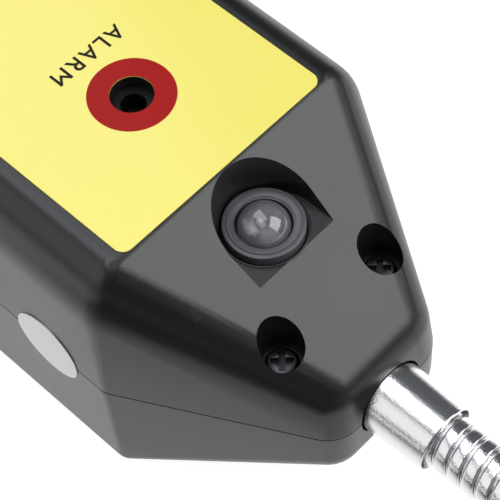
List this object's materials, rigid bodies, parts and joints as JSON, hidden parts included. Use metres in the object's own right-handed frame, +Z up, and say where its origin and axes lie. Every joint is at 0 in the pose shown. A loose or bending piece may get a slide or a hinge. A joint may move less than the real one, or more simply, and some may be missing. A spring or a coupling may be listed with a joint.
{
  "type": "refrigerant leak detector",
  "caption": "Hand-held refrigerant leak detector: black two-piece housing with sloped nose, alarm lamp, sounder port and sensitivity wheel, and a bendable chrome gooseneck with a sensor tip.",
  "frame": {"origin": "middle of the flat base of the straight part of the housing", "axes": "+X along the probe, +Y to the left, +Z up through the labelled face"},
  "size_m": [0.4569, 0.0662, 0.0862],
  "materials": {
    "upper_casing": "fine satin texture",
    "lower_casing": "fine satin texture",
    "face_label": "glossy printed film",
    "casing_screws": "dark steel",
    "lamp": "clear moulded lamp",
    "lamp_collar": "satin",
    "sounder": "matt",
    "circuit_board": "lacquered",
    "board_components": "matt",
    "board_screws": "plain",
    "control_pot": "moulded",
    "battery_cells": "printed sleeve",
    "contact_plates": "plated",
    "contact_springs": "plated",
    "seal_sticker": "silvery film",
    "outlet_ferrule": "polished",
    "sensor_lead": "sleeved",
    "neck_root": "polished",
    "control_wheel": "knurled edge",
    "battery_door": "fine satin texture",
    "neck_1": "polished",
    "neck_2": "polished",
    "neck_3": "polished",
    "neck_4": "polished",
    "neck_5": "polished",
    "neck_6": "polished",
    "neck_7": "polished",
    "neck_8": "polished",
    "neck_9": "polished",
    "neck_10": "polished",
    "probe_ferrule": "polished",
    "sensor_socket": "matt",
    "sensor_element": "plain",
    "sensor_guard": "satin"
  },
  "bodies": {
    "housing": {"upper_casing": "upper_casing", "lower_casing": "lower_casing", "face_label": "face_label", "casing_screws": "casing_screws", "lamp": "lamp", "lamp_collar": "lamp_collar", "sounder": "sounder", "circuit_board": "circuit_board", "board_components": "board_components", "board_screws": "board_screws", "control_pot": "control_pot", "battery_cells": "battery_cells", "contact_plates": "contact_plates", "contact_springs": "contact_springs", "seal_sticker": "seal_sticker", "outlet_ferrule": "outlet_ferrule", "sensor_lead": "sensor_lead", "neck_root": "neck_root"},
    "wheel": {"control_wheel": "control_wheel"},
    "door": {"battery_door": "battery_door"},
    "stretch_1": {"neck_1": "neck_1"},
    "stretch_2": {"neck_2": "neck_2"},
    "stretch_3": {"neck_3": "neck_3"},
    "stretch_4": {"neck_4": "neck_4"},
    "stretch_5": {"neck_5": "neck_5"},
    "stretch_6": {"neck_6": "neck_6"},
    "stretch_7": {"neck_7": "neck_7"},
    "stretch_8": {"neck_8": "neck_8"},
    "stretch_9": {"neck_9": "neck_9"},
    "stretch_10": {"neck_10": "neck_10", "probe_ferrule": "probe_ferrule", "sensor_socket": "sensor_socket", "sensor_element": "sensor_element", "sensor_guard": "sensor_guard"}
  },
  "joints": [
    {"name": "neck_bend_1", "type": "hinge", "parent": "housing", "child": "stretch_1", "pos_m": [0.1204, 0, 0.0282], "axis": [0, -1, 0], "range_deg": [-22.5, 13.5]},
    {"name": "neck_bend_2", "type": "hinge", "parent": "stretch_1", "child": "stretch_2", "pos_m": [0.1448, 0, 0.03012], "axis": [-0.0785, 0, 0.9969], "range_deg": [-18, 18]},
    {"name": "neck_bend_3", "type": "hinge", "parent": "stretch_2", "child": "stretch_3", "pos_m": [0.16921, 0, 0.03204], "axis": [0, -1, 0], "range_deg": [-21, 15]},
    {"name": "neck_bend_4", "type": "hinge", "parent": "stretch_3", "child": "stretch_4", "pos_m": [0.19348, 0, 0.03524], "axis": [-0.1305, 0, 0.9914], "range_deg": [-18, 18]},
    {"name": "neck_bend_5", "type": "hinge", "parent": "stretch_4", "child": "stretch_5", "pos_m": [0.21775, 0, 0.03843], "axis": [0, -1, 0], "range_deg": [-21, 15]},
    {"name": "neck_bend_6", "type": "hinge", "parent": "stretch_5", "child": "stretch_6", "pos_m": [0.24182, 0, 0.04289], "axis": [-0.1822, 0, 0.9833], "range_deg": [-18, 18]},
    {"name": "neck_bend_7", "type": "hinge", "parent": "stretch_6", "child": "stretch_7", "pos_m": [0.26589, 0, 0.04735], "axis": [0, -1, 0], "range_deg": [-21, 15]},
    {"name": "neck_bend_8", "type": "hinge", "parent": "stretch_7", "child": "stretch_8", "pos_m": [0.28969, 0, 0.05307], "axis": [-0.2334, 0, 0.9724], "range_deg": [-18, 18]},
    {"name": "neck_bend_9", "type": "hinge", "parent": "stretch_8", "child": "stretch_9", "pos_m": [0.3135, 0, 0.05878], "axis": [0, -1, 0], "range_deg": [-21, 15]},
    {"name": "neck_bend_10", "type": "hinge", "parent": "stretch_9", "child": "stretch_10", "pos_m": [0.33697, 0, 0.06574], "axis": [-0.284, 0, 0.9588], "range_deg": [-18, 18]},
    {"name": "sensitivity_turn", "type": "hinge", "parent": "housing", "child": "wheel", "pos_m": [0.004, 0, 0.0542], "axis": [0, 1, 0], "range_deg": [0, 270]},
    {"name": "door_slide", "type": "slide", "parent": "housing", "child": "door", "axis": [-1, 0, 0], "range_m": [0, 0.07]}
  ]
}
